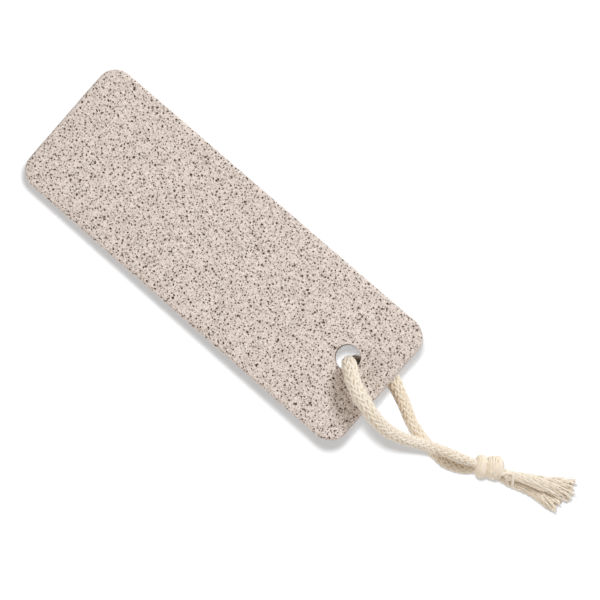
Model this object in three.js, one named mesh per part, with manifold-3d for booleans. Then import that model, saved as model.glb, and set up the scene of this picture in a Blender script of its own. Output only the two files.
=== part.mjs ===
/**
 * Pumice bath stone on a knotted cotton cord.
 *
 * A flat block of pumice with rounded corners is drilled through near one end. One length of
 * braided cotton cord goes through the hole, comes back over and under the end of the block, and
 * is tied to itself. Its two free ends are frayed.
 *
 * Units are millimetres and +Z is up. The origin is on the table under the middle of the block.
 * +X runs along the block towards the drilled end. The cord passes under that end, so the block
 * lies on the cord there, and on its own underside at the far end.
 */

import * as THREE from "three";
import { mergeVertices } from "three/addons/utils/BufferGeometryUtils.js";
import Module from "manifold-3d";

// The block
const BLOCK_LENGTH = 140;
const BLOCK_WIDTH = 50;
const BLOCK_THICKNESS = 15;
const WIDTH_GAIN = 1.2; // how much wider the drilled end is than the far end
const CORNER_RADIUS = 7.3; // of the outline's four corners
const EDGE_RADIUS = 2.4; // of the rubbed edges round both faces
const CORNER_SEGMENTS = 8;
const EDGE_SEGMENTS = 2;

// Two level-bottomed grains under the far end, which the rough block rests on there
const GRAIN_SIZE = 1.4;
const GRAIN_HEIGHT = 0.3; // how far they stand below the underside
const GRAIN_X = -66.6;
const GRAIN_SPREAD = 34; // from one to the other, across the block

// The hole, with its place measured on the block from the block's middle
const HOLE_DIAMETER = 8.8;
const HOLE_X = 54.2;
const HOLE_Y = 1.4;
const HOLE_SIDES = 32;

// The cord
const CORD_DIAMETER = 5.2;
const CORD_SIDES = 10;
const CORD_STEPS = 78;
const PRESSED_SHARE = 0.8; // of its diameter, where the block presses the cord
const DRAWN_SHARE = 0.6; // of its diameter, where the cord enters the knot
const GAP = 0.3; // left between pieces that touch

// The knot: a barrel of three wraps, lying on the table
const KNOT_CENTRE = new THREE.Vector3(114.2, 4.7, 4.2);
const KNOT_ANGLE = THREE.MathUtils.degToRad(36); // from +X towards +Y
const WRAPS = [
  { width: 1.7, radius: 3.9 },
  { width: 2.0, radius: 4.0 },
  { width: 5.7, radius: 4.2 },
];
const CREASE_RADIUS = 3.3; // between two wraps
const WRAP_SEGMENTS = 6;
const KNOT_SIDES = 24;

// The frayed ends
const TAIL_NECK_RADIUS = 1.55;
const TAIL_TIP_RADIUS = 2.8;
const TAIL_STEPS = 12;

// From the knot over the end of the block, down the hole, and back under the block to the knot.
const CORD_ROUTE = [
  [109.4, 2.4, 6.0],
  [106.4, 1.3, 6.4],
  [100.8, -0.8, 7.2],
  [95.0, -2.95, 7.9],
  [90.6, -4.9, 9.6],
  [86.2, -6.95, 13.4],
  [79.8, -8.5, 19.8],
  [73.3, -8.0, 24.4],
  [68.2, -6.6, 25.8],
  [63.0, -4.8, 25.7],
  [59.4, -2.9, 24.6],
  [56.5, -0.6, 22.5],
  [55.0, 0.56, 19.2],
  [55.4, 0.7, 12.0],
  [55.58, 0.75, 8.6],
  [55.85, 0.9, 6.5],
  [56.15, 1.1, 4.5],
  [57.0, 1.6, 2.75],
  [58.9, 2.5, 2.1],
  [63.4, 4.8, 2.1],
  [68.4, 5.9, 2.12],
  [72.3, 4.8, 2.45],
  [76.2, 3.1, 2.65],
  [80.1, 1.2, 2.6],
  [84.6, -1.05, 2.45],
  [89.0, -2.5, 2.35],
  [93.0, -3.2, 2.1],
  [97.0, -3.7, 2.0],
  [101.8, -3.95, 2.0],
  [104.5, -3.2, 2.0],
  [107.2, -2.0, 1.9],
  [109.3, -0.65, 1.9],
  [110.65, 0.7, 2.0],
];

const UPPER_TAIL_ROUTE = [
  [119.35, 6.5, 5.1],
  [121.8, 7.5, 4.8],
  [124.5, 8.9, 4.4],
  [127.5, 10.4, 4.5],
  [130.6, 11.8, 4.8],
  [134.2, 13.7, 4.3],
  [139.6, 16.5, 2.8],
];

const LOWER_TAIL_ROUTE = [
  [120.9, 4.9, 2.0],
  [123.2, 5.45, 2.0],
  [126.9, 7.0, 2.2],
  [130.9, 8.35, 2.4],
  [133.7, 8.95, 2.6],
  [137.0, 9.45, 2.7],
  [140.2, 9.9, 2.8],
];

const PUMICE = { color: 0xd6c8be, roughness: 0.95, metalness: 0 };
const COTTON = { color: 0xe6ded3, roughness: 0.9, metalness: 0 };

const wasm = await Module();
wasm.setup();

/** A closed three.js geometry as a manifold-3d solid. */
function toSolid(geometry) {
  geometry.deleteAttribute("normal");
  geometry.deleteAttribute("uv");
  const merged = mergeVertices(geometry, 1e-4);
  const mesh = new wasm.Mesh({
    numProp: 3,
    vertProperties: new Float32Array(merged.getAttribute("position").array),
    triVerts: new Uint32Array(merged.index.array),
  });
  return new wasm.Manifold(mesh);
}

/** A manifold-3d solid as a three.js geometry. */
function toGeometry(solid) {
  const mesh = solid.getMesh();
  const geometry = new THREE.BufferGeometry();
  geometry.setAttribute("position", new THREE.BufferAttribute(mesh.vertProperties, 3));
  geometry.setIndex(new THREE.BufferAttribute(mesh.triVerts, 1));
  geometry.computeVertexNormals();
  return geometry;
}

function mesh(name, geometry, finish) {
  const made = new THREE.Mesh(geometry, new THREE.MeshStandardMaterial(finish));
  made.name = name;
  return made;
}

/** The block's outline with round corners, drawn this far inside its sides. */
function blockOutline(inset) {
  const radius = CORNER_RADIUS - inset;
  const x = BLOCK_LENGTH / 2 - CORNER_RADIUS;
  const y = BLOCK_WIDTH / 2 - CORNER_RADIUS;
  const corners = [
    [x, y],
    [-x, y],
    [-x, -y],
    [x, -y],
  ];
  const outline = new THREE.Shape();
  corners.forEach(([cx, cy], i) => {
    outline.absarc(cx, cy, radius, (i * Math.PI) / 2, ((i + 1) * Math.PI) / 2, false);
  });
  return outline;
}

/** How far the block tips: it lies on the grains at its far end and on the cord at the hole. */
function blockTilt() {
  const raised = CORD_DIAMETER * PRESSED_SHARE + GAP - GRAIN_HEIGHT;
  return Math.atan2(raised, HOLE_X + HOLE_DIAMETER / 2 - GRAIN_X);
}

/** The grain on one side of the block, -1 or 1, with its bottom level as the block lies. */
function grain(side) {
  const lump = new THREE.BoxGeometry(GRAIN_SIZE, GRAIN_SIZE, GRAIN_SIZE);
  lump.rotateY(blockTilt());
  const z = GRAIN_SIZE / 2 - GRAIN_HEIGHT - BLOCK_THICKNESS / 2;
  lump.translate(GRAIN_X, (side * GRAIN_SPREAD) / 2, z);
  return toSolid(lump);
}

/** The drilled block, flat and centred on its own middle. */
function blockGeometry() {
  const core = BLOCK_THICKNESS - 2 * EDGE_RADIUS;
  const block = new THREE.ExtrudeGeometry(blockOutline(EDGE_RADIUS), {
    depth: core,
    curveSegments: CORNER_SEGMENTS / 2,
    bevelThickness: EDGE_RADIUS,
    bevelSize: EDGE_RADIUS,
    bevelSegments: EDGE_SEGMENTS,
  });
  block.translate(0, 0, -core / 2);

  const position = block.getAttribute("position");
  for (let i = 0; i < position.count; i += 1) {
    const gain = (WIDTH_GAIN / BLOCK_WIDTH) * (position.getX(i) / BLOCK_LENGTH);
    position.setY(i, position.getY(i) * (1 + gain));
  }

  const radius = HOLE_DIAMETER / 2;
  const drill = new THREE.CylinderGeometry(radius, radius, 2 * BLOCK_THICKNESS, HOLE_SIDES);
  drill.rotateX(Math.PI / 2);
  drill.translate(HOLE_X, HOLE_Y, 0);
  return toGeometry(toSolid(block).subtract(toSolid(drill)).add(grain(-1)).add(grain(1)));
}

/** The block as it lies. */
function block() {
  const tilt = blockTilt();
  const geometry = blockGeometry();
  const stone = mesh("pumice_stone", geometry, PUMICE);
  stone.rotation.y = -tilt;

  const tilted = geometry.clone().rotateY(-tilt);
  tilted.computeBoundingBox();
  stone.position.z = -tilted.boundingBox.min.z;
  return stone;
}

/** A round tube along a route, with its radius at each point of the route's middle line. */
function tubeGeometry(route, steps, radiusAt) {
  const points = route.map((p) => new THREE.Vector3(...p));
  const curve = new THREE.CatmullRomCurve3(points, false, "centripetal");
  const section = new THREE.Shape();
  for (let i = 0; i < CORD_SIDES; i += 1) {
    const turn = (2 * Math.PI * i) / CORD_SIDES;
    const move = i ? "lineTo" : "moveTo";
    section[move](Math.cos(turn), Math.sin(turn));
  }
  const tube = new THREE.ExtrudeGeometry(section, { steps, extrudePath: curve });

  const middles = curve.getSpacedPoints(steps);
  const position = tube.getAttribute("position");
  const corner = new THREE.Vector3();
  for (let i = 0; i < position.count; i += 1) {
    corner.fromBufferAttribute(position, i);
    const gaps = middles.map((m) => m.distanceTo(corner));
    const at = gaps.indexOf(Math.min(...gaps));
    corner.sub(middles[at]).multiplyScalar(radiusAt(middles[at], at / steps));
    corner.add(middles[at]);
    position.setXYZ(i, corner.x, corner.y, corner.z);
  }
  return tube;
}

/** The cord's radius: less where the block lies on it, and drawn in towards the knot. */
function cordRadius(middle) {
  const { smoothstep, lerp } = THREE.MathUtils;
  const aboveRim = smoothstep(middle.z, 4.5, 9);
  const pastBlock = smoothstep(middle.x, 70, 77);
  const pressed = lerp(PRESSED_SHARE, 1, Math.max(aboveRim, pastBlock));
  const drawn = lerp(DRAWN_SHARE, 1, smoothstep(middle.distanceTo(KNOT_CENTRE), 3, 45));
  return (CORD_DIAMETER / 2) * Math.min(pressed, drawn);
}

function tailRadius(middle, share) {
  return THREE.MathUtils.lerp(TAIL_NECK_RADIUS, TAIL_TIP_RADIUS, share ** 2);
}

/** The knot's outline from one end of its axis to the other, bulging at each wrap. */
function knotProfile() {
  const length = WRAPS.reduce((sum, wrap) => sum + wrap.width, 0);
  const profile = [new THREE.Vector2(0, -length / 2)];
  let start = -length / 2;
  for (const { width, radius } of WRAPS) {
    for (let i = 0; i <= WRAP_SEGMENTS; i += 1) {
      const turn = (Math.PI * i) / WRAP_SEGMENTS;
      const out = CREASE_RADIUS + (radius - CREASE_RADIUS) * Math.sin(turn);
      const along = start + (width * (1 - Math.cos(turn))) / 2;
      const last = profile[profile.length - 1];
      const next = new THREE.Vector2(out, along);
      if (next.distanceTo(last) > 1e-6) profile.push(next);
    }
    start += width;
  }
  profile.push(new THREE.Vector2(0, length / 2));
  return profile;
}

function knot() {
  const barrel = mesh("knot", new THREE.LatheGeometry(knotProfile(), KNOT_SIDES), COTTON);
  barrel.rotation.z = KNOT_ANGLE - Math.PI / 2;
  barrel.position.copy(KNOT_CENTRE);
  return barrel;
}

const part = new THREE.Group();
part.add(
  block(),
  mesh("cord", tubeGeometry(CORD_ROUTE, CORD_STEPS, cordRadius), COTTON),
  knot(),
  mesh("tail_upper", tubeGeometry(UPPER_TAIL_ROUTE, TAIL_STEPS, tailRadius), COTTON),
  mesh("tail_lower", tubeGeometry(LOWER_TAIL_ROUTE, TAIL_STEPS, tailRadius), COTTON),
);

export default part;
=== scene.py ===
"""Pumice bath stone on a knotted cotton cord.

A flat block of pumice, full of small pores, is drilled through near one end. A braided cotton cord
goes through the hole, over and under the end of the block, and is tied to itself. Its two free
ends are frayed. Lengths are in metres and +Z is up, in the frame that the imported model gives.
"""

import logging
import math
from dataclasses import dataclass, field
from enum import Enum
from typing import Any, Mapping, Sequence, Union

import bmesh
import bpy
import numpy as np
from mathutils import Matrix, Vector


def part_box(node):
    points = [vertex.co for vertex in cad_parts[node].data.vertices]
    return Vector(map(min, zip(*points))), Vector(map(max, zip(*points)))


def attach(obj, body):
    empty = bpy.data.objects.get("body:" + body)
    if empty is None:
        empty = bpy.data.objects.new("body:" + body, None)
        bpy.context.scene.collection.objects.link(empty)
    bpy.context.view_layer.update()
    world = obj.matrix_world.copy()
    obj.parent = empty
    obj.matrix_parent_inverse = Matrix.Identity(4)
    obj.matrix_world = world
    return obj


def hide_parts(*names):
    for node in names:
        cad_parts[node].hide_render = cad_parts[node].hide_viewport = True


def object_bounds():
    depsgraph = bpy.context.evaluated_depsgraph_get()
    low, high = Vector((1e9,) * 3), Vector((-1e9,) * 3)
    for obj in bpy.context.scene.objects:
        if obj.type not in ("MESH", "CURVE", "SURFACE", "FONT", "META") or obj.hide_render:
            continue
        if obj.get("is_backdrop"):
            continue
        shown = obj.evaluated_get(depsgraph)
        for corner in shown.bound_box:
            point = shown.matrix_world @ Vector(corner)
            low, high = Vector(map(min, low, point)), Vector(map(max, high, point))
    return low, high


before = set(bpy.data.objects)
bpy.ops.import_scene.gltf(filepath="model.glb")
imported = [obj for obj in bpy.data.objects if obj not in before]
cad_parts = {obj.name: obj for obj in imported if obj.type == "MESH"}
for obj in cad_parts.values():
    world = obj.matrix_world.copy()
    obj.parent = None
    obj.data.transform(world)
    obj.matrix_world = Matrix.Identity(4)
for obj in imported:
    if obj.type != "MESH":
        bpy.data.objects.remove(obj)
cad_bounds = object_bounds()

log = logging.getLogger("pumice stone")

BODY = "root"

# From the knot over the end of the block, down the hole, and back under the block to the knot.
CORD_ROUTE = (
    (0.1094, 0.0024, 0.0060),
    (0.1064, 0.0013, 0.0064),
    (0.1008, -0.0008, 0.0072),
    (0.0950, -0.00295, 0.0079),
    (0.0906, -0.0049, 0.0096),
    (0.0862, -0.00695, 0.0134),
    (0.0798, -0.0085, 0.0198),
    (0.0733, -0.008, 0.0244),
    (0.0682, -0.0066, 0.0258),
    (0.0630, -0.0048, 0.0257),
    (0.0594, -0.0029, 0.0246),
    (0.0565, -0.0006, 0.0225),
    (0.0550, 0.00056, 0.0192),
    (0.0554, 0.0007, 0.0120),
    (0.05558, 0.00075, 0.0086),
    (0.05585, 0.0009, 0.0065),
    (0.05615, 0.0011, 0.0045),
    (0.0570, 0.0016, 0.00275),
    (0.0589, 0.0025, 0.0021),
    (0.0634, 0.0048, 0.0021),
    (0.0684, 0.0059, 0.00212),
    (0.0723, 0.0048, 0.00245),
    (0.0762, 0.0031, 0.00265),
    (0.0801, 0.0012, 0.0026),
    (0.0846, -0.00105, 0.00245),
    (0.0890, -0.0025, 0.00235),
    (0.0930, -0.0032, 0.0021),
    (0.0970, -0.0037, 0.0020),
    (0.1018, -0.00395, 0.0020),
    (0.1045, -0.0032, 0.0020),
    (0.1072, -0.002, 0.0019),
    (0.1093, -0.00065, 0.0019),
    (0.11065, 0.0007, 0.0020),
)
MID_HOLE = 13  # the route's point half way down the hole

UPPER_TAIL_ROUTE = (
    (0.11935, 0.0065, 0.0051),
    (0.1218, 0.0075, 0.0048),
    (0.1245, 0.0089, 0.0044),
    (0.1275, 0.0104, 0.0045),
    (0.1306, 0.0118, 0.0048),
    (0.1342, 0.0137, 0.0043),
    (0.1396, 0.0165, 0.0028),
)

LOWER_TAIL_ROUTE = (
    (0.1209, 0.0049, 0.0020),
    (0.1232, 0.00545, 0.0020),
    (0.1269, 0.0070, 0.0022),
    (0.1309, 0.00835, 0.0024),
    (0.1337, 0.00895, 0.0026),
    (0.1370, 0.00945, 0.0027),
    (0.1402, 0.0099, 0.0028),
)

CORD_DIAMETER = 0.0052
KNOT_CENTRE = (0.1142, 0.0047, 0.0042)
KNOT_ANGLE = math.radians(36)  # from +X towards +Y
HOLE_PLACE = (0.0542, 0.0014)  # the hole's middle, from above

Number = Union[float, "Field"]
Colour = tuple[float, float, float]
Place = tuple[float, float, float]
Span = tuple[float, float]  # where a change starts and where it is complete

WHITE: Colour = (1.0, 1.0, 1.0)


def linear(red: int, green: int, blue: int) -> Colour:
    """Turns a colour from the usual 0 to 255 scale into linear light.

    Args:
        red: The red share, 0 to 255.
        green: The green share, 0 to 255.
        blue: The blue share, 0 to 255.

    Returns:
        The three shares in linear light, 0 to 1.
    """
    shares = (red / 255, green / 255, blue / 255)
    return tuple(s / 12.92 if s < 0.04045 else ((s + 0.055) / 1.055) ** 2.4 for s in shares)


def coordinates(mesh: bpy.types.Mesh) -> np.ndarray:
    """Reads a mesh's points.

    Args:
        mesh: The mesh.

    Returns:
        The points, one row each.
    """
    flat = np.zeros(len(mesh.vertices) * 3)
    mesh.vertices.foreach_get("co", flat)
    return flat.reshape(-1, 3)


def move_to(mesh: bpy.types.Mesh, points: np.ndarray) -> None:
    """Puts a mesh's points in new places.

    Args:
        mesh: The mesh, which is changed.
        points: The new places, one row each.
    """
    mesh.vertices.foreach_set("co", points.ravel())
    mesh.update()


def smoothstep(low: float, high: float, value: np.ndarray) -> np.ndarray:
    """Rises smoothly from 0 at low to 1 at high.

    Args:
        low: Where the rise starts.
        high: Where it ends; it may be less than low for a fall.
        value: The values to take it at.

    Returns:
        The share at each value.
    """
    share = np.clip((value - low) / (high - low), 0, 1)
    return share * share * (3 - 2 * share)


# ------------------------------------------------------------------ node trees


@dataclass(frozen=True)
class Field:
    """An output of a node, which sums and products can be taken of."""

    wiring: "Wiring"
    socket: bpy.types.NodeSocket

    def __add__(self, other: Number) -> "Field":
        """The sum."""
        return self.wiring.math("ADD", self, other)

    def __sub__(self, other: Number) -> "Field":
        """The difference."""
        return self.wiring.math("SUBTRACT", self, other)

    def __mul__(self, other: Number) -> "Field":
        """The product."""
        return self.wiring.math("MULTIPLY", self, other)

    def __truediv__(self, other: Number) -> "Field":
        """The quotient."""
        return self.wiring.math("DIVIDE", self, other)

    def __mod__(self, other: Number) -> "Field":
        """The remainder, never below 0."""
        return self.wiring.math("FLOORED_MODULO", self, other)

    def floor(self) -> "Field":
        """The whole number below."""
        return self.wiring.math("FLOOR", self)

    def between(self, low: float, high: float) -> "Field":
        """The share of the way from low to high, smooth and kept to 0 to 1.

        Args:
            low: The value that gives 0.
            high: The value that gives 1; it may be less than low for a fall.

        Returns:
            The share.
        """
        node = self.wiring.node(
            "ShaderNodeMapRange",
            {"Value": self, "From Min": low, "From Max": high},
            interpolation_type="SMOOTHSTEP",
        )
        return self.wiring.out(node, "Result")


class Wiring:
    """Adds nodes to a tree and joins them up."""

    def __init__(self, tree: bpy.types.NodeTree) -> None:
        """Takes the tree that the nodes go in."""
        self.tree = tree

    def node(
        self, kind: str, inputs: Mapping[Any, Any] | None = None, **settings: Any
    ) -> bpy.types.Node:
        """Adds a node.

        Args:
            kind: The node's type.
            inputs: What goes into each input, by name or number: a field or a plain value.
            **settings: The node's own settings.

        Returns:
            The new node.
        """
        made = self.tree.nodes.new(kind)
        for name, value in settings.items():
            setattr(made, name, value)
        for name, value in (inputs or {}).items():
            self.feed(made.inputs[name], value)
        return made

    def feed(self, socket: bpy.types.NodeSocket, value: Any) -> None:
        """Gives an input a field or a plain value.

        Args:
            socket: The input.
            value: The field or the plain value.
        """
        if isinstance(value, Field):
            self.tree.links.new(value.socket, socket)
        else:
            socket.default_value = value

    def out(self, node: bpy.types.Node, output: Union[int, str] = 0) -> Field:
        """A node's output as a field."""
        return Field(self, node.outputs[output])

    def math(self, operation: str, *values: Number) -> Field:
        """Sums, products and the like of plain numbers."""
        return self.out(self.node("ShaderNodeMath", dict(enumerate(values)), operation=operation))

    def vectors(self, operation: str, *values: Any) -> Field:
        """Sums and products of vectors."""
        made = self.node("ShaderNodeVectorMath", dict(enumerate(values)), operation=operation)
        return self.out(made, "Value" if operation in ("DOT_PRODUCT", "LENGTH") else "Vector")

    def scaled(self, vector: Field, by: Number) -> Field:
        """A vector times a number."""
        made = self.node("ShaderNodeVectorMath", {0: vector, "Scale": by}, operation="SCALE")
        return self.out(made, "Vector")

    def joined(self, x: Number = 0.0, y: Number = 0.0, z: Number = 0.0) -> Field:
        """A vector from its three parts."""
        return self.out(self.node("ShaderNodeCombineXYZ", {"X": x, "Y": y, "Z": z}))

    def noise(self, at: Field, scale: float, detail: float = 2.0) -> Field:
        """Smooth noise from 0 to 1 over a place."""
        inputs = {"Vector": at, "Scale": scale, "Detail": detail}
        return self.out(self.node("ShaderNodeTexNoise", inputs), 0)


class Shapes(Wiring):
    """A geometry node tree with named inputs."""

    def __init__(self, name: str, inputs: Mapping[str, str]) -> None:
        """Makes the tree.

        Args:
            name: The tree's name.
            inputs: Each input's name and socket type, with the geometry first.
        """
        super().__init__(bpy.data.node_groups.new(name, "GeometryNodeTree"))
        for title, kind in inputs.items():
            self.tree.interface.new_socket(title, in_out="INPUT", socket_type=kind)
        self.tree.interface.new_socket(
            "Result", in_out="OUTPUT", socket_type="NodeSocketGeometry"
        )
        self.inlet = self.node("NodeGroupInput")

    def given(self, name: str) -> Field:
        """One of the tree's inputs."""
        return self.out(self.inlet, name)

    def read(self, name: str, kind: str = "FLOAT") -> Field:
        """An attribute of the geometry."""
        node = self.node("GeometryNodeInputNamedAttribute", {"Name": name}, data_type=kind)
        return self.out(node, "Attribute")

    def keep(self, shape: Field, name: str, value: Field, kind: str = "FLOAT") -> Field:
        """Stores a number or a vector on the geometry under a name.

        Args:
            shape: The geometry.
            name: The name that it is stored under.
            value: The number or vector.
            kind: The stored type.

        Returns:
            The geometry with the number on it.
        """
        made = self.node("GeometryNodeStoreNamedAttribute", {"Geometry": shape, "Name": name})
        made.data_type = kind
        self.feed(made.inputs["Value"], value)
        return self.out(made)

    def random(self, low: Number, high: Number, seed: Number, index: Field | None = None) -> Field:
        """A random number for each element.

        Args:
            low: The lowest that it may be.
            high: The highest that it may be.
            seed: The fixed seed of the draw.
            index: Which number belongs to an element, if not its own index.

        Returns:
            The number.
        """
        inputs = {2: low, 3: high, "Seed": seed}
        if index is not None:
            inputs["ID"] = index
        return self.out(self.node("FunctionNodeRandomValue", inputs, data_type="FLOAT"), 1)

    def end(self, shape: Field, material: Field) -> bpy.types.NodeTree:
        """Makes the shape real, gives it its material and sends it out.

        Args:
            shape: The finished geometry.
            material: The material that it gets.

        Returns:
            The whole tree.
        """
        real = self.out(self.node("GeometryNodeRealizeInstances", {"Geometry": shape}))
        dressed = self.node("GeometryNodeSetMaterial", {"Geometry": real, "Material": material})
        self.feed(self.node("NodeGroupOutput").inputs[0], self.out(dressed))
        return self.tree


def grown(
    base: bpy.types.Mesh, tree: bpy.types.NodeTree, values: Mapping[str, Any], name: str
) -> bpy.types.Object:
    """Runs a node tree on a mesh and keeps the result as a plain piece.

    Args:
        base: The mesh that the tree starts from.
        tree: The geometry node tree.
        values: The tree's inputs by name.
        name: The piece's name.

    Returns:
        The piece, with no modifier on it.
    """
    piece = bpy.data.objects.new(name, base)
    bpy.context.scene.collection.objects.link(piece)
    modifier = piece.modifiers.new(tree.name, "NODES")
    modifier.node_group = tree
    for item in tree.interface.items_tree:
        if item.item_type == "SOCKET" and item.in_out == "INPUT" and item.name in values:
            modifier[item.identifier] = values[item.name]
    evaluated = piece.evaluated_get(bpy.context.evaluated_depsgraph_get())
    mesh = bpy.data.meshes.new_from_object(evaluated)
    piece.modifiers.remove(modifier)
    piece.data = mesh
    mesh.name = name
    return piece


def joined_piece(name: str, pieces: Sequence[bpy.types.Object]) -> bpy.types.Object:
    """Joins pieces into the first of them.

    Args:
        name: The joined piece's name.
        pieces: The pieces, which all go into one.

    Returns:
        The one piece.
    """
    with bpy.context.temp_override(
        active_object=pieces[0], selected_editable_objects=list(pieces)
    ):
        bpy.ops.object.join()
    pieces[0].name = name
    pieces[0].data.name = name
    return pieces[0]


def triangle_count(piece: bpy.types.Object) -> int:
    """How many triangles a piece's mesh has."""
    piece.data.calc_loop_triangles()
    return len(piece.data.loop_triangles)


# ------------------------------------------------------------------ finishes


class Surface(Wiring):
    """A material's node tree round one Principled shader."""

    def __init__(self, name: str, roughness: float, specular: float) -> None:
        """Makes the material.

        Args:
            name: The material's name.
            roughness: The shader's roughness, the same all over.
            specular: The shader's specular level, the same all over.
        """
        self.material = bpy.data.materials.new(name)
        self.material.use_nodes = True
        super().__init__(self.material.node_tree)
        self.shader = self.tree.nodes["Principled BSDF"]
        self.shader.inputs["Roughness"].default_value = roughness
        self.shader.inputs["Specular IOR Level"].default_value = specular
        self.place = self.out(self.node("ShaderNodeTexCoord"), "Object")

    def read(self, name: str) -> Field:
        """A number that the mesh carries."""
        return self.out(self.node("ShaderNodeAttribute", attribute_name=name), "Fac")

    def mixed(self, share: Number, first: Any, second: Any) -> Field:
        """A colour part of the way from the first to the second.

        Args:
            share: How far along the way, 0 to 1.
            first: The first colour, plain or a field.
            second: The second colour, plain or a field.

        Returns:
            The colour.
        """
        node = self.node("ShaderNodeMix", data_type="RGBA", clamp_factor=True)
        self.feed(node.inputs[0], share)
        for socket, colour in ((node.inputs[6], first), (node.inputs[7], second)):
            self.feed(socket, colour if isinstance(colour, Field) else (*colour, 1.0))
        return self.out(node, 2)

    def raised(self, height: Field, distance: float, strength: float) -> None:
        """Gives the surface a fine relief.

        Args:
            height: The relief's height, 0 to 1.
            distance: How high 1 stands.
            strength: How much of the relief shows.
        """
        inputs = {"Height": height, "Distance": distance, "Strength": strength}
        self.feed(self.shader.inputs["Normal"], self.out(self.node("ShaderNodeBump", inputs)))

    def coloured(self, colour: Field) -> None:
        """Gives the surface its colour."""
        self.feed(self.shader.inputs["Base Color"], colour)


@dataclass(frozen=True)
class Pricks:
    """Soft dark dots of painted shade, for pits too small to cut, one in some of the cells of a
    spread of points.
    """

    scale: float  # cells to the metre
    size: float  # a dot's radius as a share of a cell
    share: float  # the share of the cells that have one
    strength: float
    core: float = 0.35  # the share of the radius that is fully dark

    def darkness(self, surface: "Surface") -> Field:
        """How dark the dots make each place of a surface.

        Args:
            surface: The material's tree.

        Returns:
            The darkness, 0 to 1.
        """
        values = {"Vector": surface.place, "Scale": self.scale}
        cells = surface.node("ShaderNodeTexVoronoi", values)
        near = surface.out(cells, "Distance").between(self.size, self.size * self.core)
        split = surface.node("ShaderNodeSeparateColor", {0: surface.out(cells, "Color")})
        chosen = surface.math("LESS_THAN", surface.out(split), self.share)
        return near * chosen * self.strength


@dataclass(frozen=True)
class PumiceFinish:
    """Pale warm grey stone with light grains, painted shade that darkens its pores the further
    their walls lie below the surface, and dark dots painted as the shade of pinprick pits between
    them.
    """

    pale: Colour = linear(228, 215, 208)
    warm: Colour = linear(205, 192, 183)
    light: Colour = linear(246, 237, 230)
    # the painted shade in pits too small to cut
    painted_pit_shade: Colour = linear(122, 108, 98)
    # the painted shade inside the pores
    painted_pore_shade: Colour = linear(118, 102, 91)
    roughness: float = 0.95
    specular: float = 0.15
    cloud_scale: float = 260.0
    grit_scale: float = 1500.0
    detail: float = 3.0
    fine: Pricks = Pricks(scale=1900.0, size=0.45, share=0.65, strength=0.75)
    coarse: Pricks = Pricks(scale=1150.0, size=0.40, share=0.68, strength=0.90)
    pore_shade: Span = (0.00002, 0.00030)  # depths over which the painted shade on a pore's wall grows to full
    relief: float = 0.00012
    relief_strength: float = 0.7

    def material(self) -> bpy.types.Material:
        """Makes the stone's material.

        Returns:
            The material.
        """
        surface = Surface("pumice", self.roughness, self.specular)
        cloud = surface.noise(surface.place, self.cloud_scale, self.detail)
        grit = surface.noise(surface.place, self.grit_scale, self.detail)
        colour = surface.mixed(cloud.between(0.35, 0.68) * 0.5, self.pale, self.warm)
        colour = surface.mixed(grit.between(0.50, 0.72) * 0.8, colour, self.warm)
        colour = surface.mixed(grit.between(0.50, 0.32) * 0.8, colour, self.light)
        # painted shade: dark dots for pits too small to cut, which the relief also sinks
        pit_shade_share = surface.math(
            "MAXIMUM", self.fine.darkness(surface), self.coarse.darkness(surface)
        )
        colour = surface.mixed(pit_shade_share, colour, self.painted_pit_shade)
        # painted shade: a pore's wall is darker the further it lies below the surface
        depth = surface.read("pore_depth").between(*self.pore_shade)
        surface.coloured(surface.mixed(depth, colour, self.painted_pore_shade))
        surface.raised(grit - pit_shade_share, self.relief, self.relief_strength)
        return surface.material


@dataclass(frozen=True)
class CottonFinish:
    """Natural cotton yarn, cream outside, with painted brown shade where a yarn lies under others.
    """

    pale: Colour = linear(250, 242, 229)
    cream: Colour = linear(240, 227, 207)
    # the painted shade where a yarn lies under others
    painted_shade: Colour = linear(200, 172, 136)
    roughness: float = 0.9
    specular: float = 0.15
    sheen: float = 0.25
    sheen_roughness: float = 0.6
    fibres_along: float = 900.0  # to the metre of yarn
    fibres_around: float = 9.0  # round the yarn
    slant: float = 2.0  # how far the fibres wind round the yarn
    yarn_apart: float = 40.0  # keeps the yarns' patterns apart
    painted_shade_from: Span = (0.5, 1.2)  # how far under a yarn goes before its painted shade is full
    relief: float = 0.0001
    relief_strength: float = 0.5

    def material(self) -> bpy.types.Material:
        """Makes the cord's material.

        Returns:
            The material.
        """
        surface = Surface("cotton", self.roughness, self.specular)
        surface.shader.inputs["Sheen Weight"].default_value = self.sheen
        surface.shader.inputs["Sheen Roughness"].default_value = self.sheen_roughness
        along = surface.read("along")
        around = surface.read("around")
        shade = surface.read("shade")
        twisted = surface.joined(
            along * self.fibres_along + around * self.slant,
            around * self.fibres_around,
            shade * self.yarn_apart,
        )
        fibres = surface.noise(twisted, 1.0)
        colour = surface.mixed(shade * 0.7, self.pale, self.cream)
        colour = surface.mixed(fibres.between(0.45, 0.8) * 0.6, colour, self.cream)
        # painted shade between the yarns: the further a yarn is hidden under others, the browner
        # it is
        under = surface.read("under").between(*self.painted_shade_from)
        surface.coloured(surface.mixed(under, colour, self.painted_shade))
        surface.raised(fibres, self.relief, self.relief_strength)
        return surface.material


@dataclass(frozen=True)
class TableFinish:
    """The plain white table that the part lies on, which glows a little of its own."""

    white: Colour = (0.44, 0.455, 0.475)
    lit: float = 0.34  # how strongly it glows

    def material(self) -> bpy.types.Material:
        """Makes the table's material.

        Returns:
            The material.
        """
        surface = Surface("table", roughness=1.0, specular=0.0)
        surface.shader.inputs["Base Color"].default_value = (*self.white, 1.0)
        surface.shader.inputs["Emission Color"].default_value = (*WHITE, 1.0)
        surface.shader.inputs["Emission Strength"].default_value = self.lit
        return surface.material


# ------------------------------------------------------------------ the stone


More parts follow.
